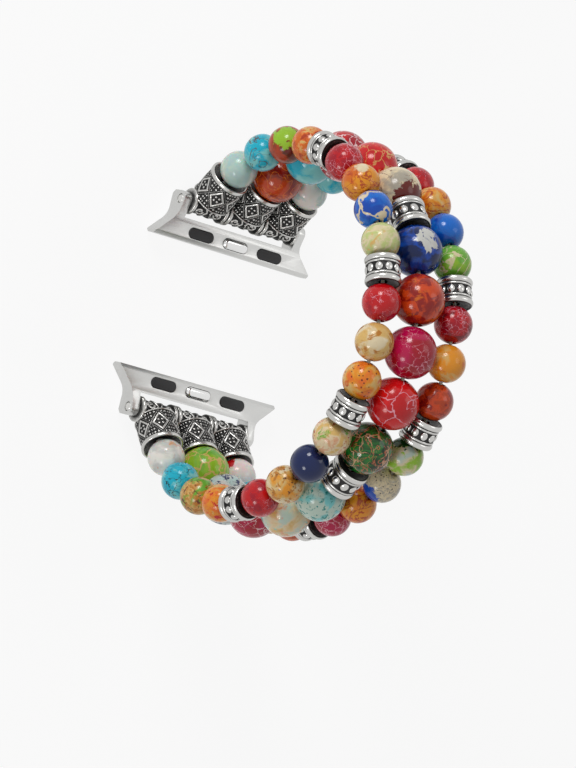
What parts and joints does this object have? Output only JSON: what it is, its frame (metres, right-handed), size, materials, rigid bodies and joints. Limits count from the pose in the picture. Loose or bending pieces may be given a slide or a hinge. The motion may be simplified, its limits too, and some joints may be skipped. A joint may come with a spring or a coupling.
{
  "type": "bead watch band",
  "caption": "Stretch watch band of mixed stone beads on elastic cord, with cast spools and bails and a hinged forked slide-in adaptor with a spring latch at each end.",
  "frame": {"origin": "centre of the footprint, on the plane that both adaptors' flat outer faces lie in", "axes": "+X across the band from the near strand to the far strand, +Y along the band towards its top end, +Z from the flat outer faces of the adaptors into the wrist opening"},
  "size_m": [0.031, 0.0648, 0.0573],
  "materials": {
    "large_stone": "polished stone, each bead its own colour in the visual model",
    "small_stone": "polished stone, each bead its own colour in the visual model",
    "antiqued_metal": "cast silver-coloured metal, darkened in the relief",
    "adaptor_metal": "satin",
    "steel": "bright drawn",
    "polished_metal": "polished",
    "rubber": "matt black",
    "elastic": "clear elastic cord"
  },
  "bodies": {
    "row_01": {"middle_bead_01": "large_stone", "side_beads_row_01": "small_stone"},
    "row_02": {"middle_bead_02": "large_stone", "side_beads_row_02": "small_stone"},
    "row_03": {"middle_bead_03": "large_stone", "side_beads_row_03": "small_stone"},
    "row_04": {"middle_bead_04": "large_stone", "side_beads_row_04": "small_stone", "side_spools_1": "antiqued_metal"},
    "row_05": {"middle_bead_05": "large_stone", "side_beads_row_05": "small_stone"},
    "row_06": {"middle_spool_1": "antiqued_metal", "side_beads_row_06": "small_stone"},
    "row_07": {"middle_bead_06": "large_stone", "side_beads_row_07": "small_stone"},
    "row_08": {"middle_bead_07": "large_stone", "side_beads_row_08": "small_stone", "side_spools_2": "antiqued_metal"},
    "row_09": {"middle_bead_08": "large_stone", "side_beads_row_09": "small_stone", "cord_near": "elastic", "cord_middle": "elastic", "cord_far": "elastic"},
    "row_10": {"middle_bead_09": "large_stone", "side_beads_row_10": "small_stone", "side_spools_3": "antiqued_metal"},
    "row_11": {"middle_bead_10": "large_stone", "side_beads_row_11": "small_stone"},
    "row_12": {"middle_spool_2": "antiqued_metal", "side_beads_row_12": "small_stone"},
    "row_13": {"middle_bead_11": "large_stone", "side_beads_row_13": "small_stone"},
    "row_14": {"middle_bead_12": "large_stone", "side_beads_row_14": "small_stone", "side_spools_4": "antiqued_metal"},
    "row_15": {"middle_bead_13": "large_stone", "side_beads_row_15": "small_stone"},
    "row_16": {"middle_bead_14": "large_stone", "side_beads_row_16": "small_stone"},
    "row_17": {"middle_bead_15": "large_stone", "side_beads_row_17": "small_stone"},
    "bails_top": {"bail_top_near": "antiqued_metal", "bail_top_middle": "antiqued_metal", "bail_top_far": "antiqued_metal"},
    "adaptor_top": {"adaptor_top": "adaptor_metal", "cross_bar_top": "steel", "rubber_pads_top": "rubber", "latch_spring_top": "steel"},
    "latch_top": {"latch_top": "polished_metal"},
    "bails_bottom": {"bail_bottom_near": "antiqued_metal", "bail_bottom_middle": "antiqued_metal", "bail_bottom_far": "antiqued_metal"},
    "adaptor_bottom": {"adaptor_bottom": "adaptor_metal", "cross_bar_bottom": "steel", "rubber_pads_bottom": "rubber", "latch_spring_bottom": "steel"},
    "latch_bottom": {"latch_bottom": "polished_metal"}
  },
  "joints": [
    {"name": "band_flex", "type": "hinge", "parent": "row_09", "child": "row_10", "pos_m": [0, -0.00405, 0.05302], "axis": [1, 0, 0], "range_deg": [-16.92, 1.35], "deforming": ["cord_near", "cord_middle", "cord_far"]},
    {"name": "flex_08", "type": "hinge", "parent": "row_09", "child": "row_08", "pos_m": [0, 0.00405, 0.05302], "axis": [1, 0, 0], "range_deg": [-1.37, 16.94]},
    {"name": "flex_10", "type": "hinge", "parent": "row_10", "child": "row_11", "pos_m": [0, -0.01179, 0.05066], "axis": [1, 0, 0], "range_deg": [-16.55, 1.34]},
    {"name": "flex_07", "type": "hinge", "parent": "row_08", "child": "row_07", "pos_m": [0, 0.01179, 0.05066], "axis": [1, 0, 0], "range_deg": [-1.34, 16.55]},
    {"name": "flex_11", "type": "hinge", "parent": "row_11", "child": "row_12", "pos_m": [0, -0.01854, 0.0462], "axis": [1, 0, 0], "range_deg": [-11.83, 0.96]},
    {"name": "flex_06", "type": "hinge", "parent": "row_07", "child": "row_06", "pos_m": [0, 0.01854, 0.0462], "axis": [1, 0, 0], "range_deg": [-0.96, 11.83]},
    {"name": "flex_12", "type": "hinge", "parent": "row_12", "child": "row_13", "pos_m": [0, -0.0213, 0.04342], "axis": [1, 0, 0], "range_deg": [-11.83, 0.96]},
    {"name": "flex_05", "type": "hinge", "parent": "row_06", "child": "row_05", "pos_m": [0, 0.0213, 0.04342], "axis": [1, 0, 0], "range_deg": [-0.96, 11.83]},
    {"name": "flex_13", "type": "hinge", "parent": "row_13", "child": "row_14", "pos_m": [0, -0.0257, 0.03662], "axis": [1, 0, 0], "range_deg": [-15.96, 1.29]},
    {"name": "flex_04", "type": "hinge", "parent": "row_05", "child": "row_04", "pos_m": [0, 0.0257, 0.03662], "axis": [1, 0, 0], "range_deg": [-1.29, 15.96]},
    {"name": "flex_14", "type": "hinge", "parent": "row_14", "child": "row_15", "pos_m": [0, -0.02806, 0.02888], "axis": [1, 0, 0], "range_deg": [-15.96, 1.29]},
    {"name": "flex_03", "type": "hinge", "parent": "row_04", "child": "row_03", "pos_m": [0, 0.02806, 0.02888], "axis": [1, 0, 0], "range_deg": [-1.29, 15.96]},
    {"name": "flex_15", "type": "hinge", "parent": "row_15", "child": "row_16", "pos_m": [0, -0.02821, 0.02079], "axis": [1, 0, 0], "range_deg": [-16.43, 1.33]},
    {"name": "flex_02", "type": "hinge", "parent": "row_03", "child": "row_02", "pos_m": [0, 0.02821, 0.02079], "axis": [1, 0, 0], "range_deg": [-1.33, 16.43]},
    {"name": "flex_16", "type": "hinge", "parent": "row_16", "child": "row_17", "pos_m": [0, -0.02602, 0.013], "axis": [1, 0, 0], "range_deg": [-20.7, 1.68]},
    {"name": "flex_01", "type": "hinge", "parent": "row_02", "child": "row_01", "pos_m": [0, 0.02602, 0.013], "axis": [1, 0, 0], "range_deg": [-1.68, 20.7]},
    {"name": "bottom_cup_flex", "type": "hinge", "parent": "row_17", "child": "bails_bottom", "pos_m": [0, -0.02363, 0.0091], "axis": [1, 0, 0], "range_deg": [-10.36, 0.85]},
    {"name": "top_cup_flex", "type": "hinge", "parent": "row_01", "child": "bails_top", "pos_m": [0, 0.02363, 0.0091], "axis": [1, 0, 0], "range_deg": [-0.85, 10.36]},
    {"name": "adaptor_top_swing", "type": "hinge", "parent": "bails_top", "child": "adaptor_top", "pos_m": [0, 0.01689, 0.0023], "axis": [-1, 0, 0], "range_deg": [-103.62, 51.38]},
    {"name": "latch_top_press", "type": "slide", "parent": "adaptor_top", "child": "latch_top", "axis": [0, 0, 1], "range_m": [-0.0005, 0], "stiffness_N_per_m": 600, "springref_m": 0.0008, "deforming": ["latch_spring_top"]},
    {"name": "adaptor_bottom_swing", "type": "hinge", "parent": "bails_bottom", "child": "adaptor_bottom", "pos_m": [0, -0.01689, 0.0023], "axis": [1, 0, 0], "range_deg": [-103.62, 51.38]},
    {"name": "latch_bottom_press", "type": "slide", "parent": "adaptor_bottom", "child": "latch_bottom", "axis": [0, 0, 1], "range_m": [-0.0005, 0], "stiffness_N_per_m": 600, "springref_m": 0.0008, "deforming": ["latch_spring_bottom"]}
  ],
  "couplings": [
    {"joint": "flex_08", "follows": "band_flex", "ratio": -1},
    {"joint": "flex_10", "follows": "band_flex", "ratio": 0.97676},
    {"joint": "flex_07", "follows": "band_flex", "ratio": -0.97676},
    {"joint": "flex_11", "follows": "band_flex", "ratio": 0.69825},
    {"joint": "flex_06", "follows": "band_flex", "ratio": -0.69825},
    {"joint": "flex_12", "follows": "band_flex", "ratio": 0.69825},
    {"joint": "flex_05", "follows": "band_flex", "ratio": -0.69825},
    {"joint": "flex_13", "follows": "band_flex", "ratio": 0.94178},
    {"joint": "flex_04", "follows": "band_flex", "ratio": -0.94178},
    {"joint": "flex_14", "follows": "band_flex", "ratio": 0.94178},
    {"joint": "flex_03", "follows": "band_flex", "ratio": -0.94178},
    {"joint": "flex_15", "follows": "band_flex", "ratio": 0.97004},
    {"joint": "flex_02", "follows": "band_flex", "ratio": -0.97004},
    {"joint": "flex_16", "follows": "band_flex", "ratio": 1.2222},
    {"joint": "flex_01", "follows": "band_flex", "ratio": -1.2222},
    {"joint": "bottom_cup_flex", "follows": "band_flex", "ratio": 0.61111},
    {"joint": "top_cup_flex", "follows": "band_flex", "ratio": -0.61111}
  ]
}
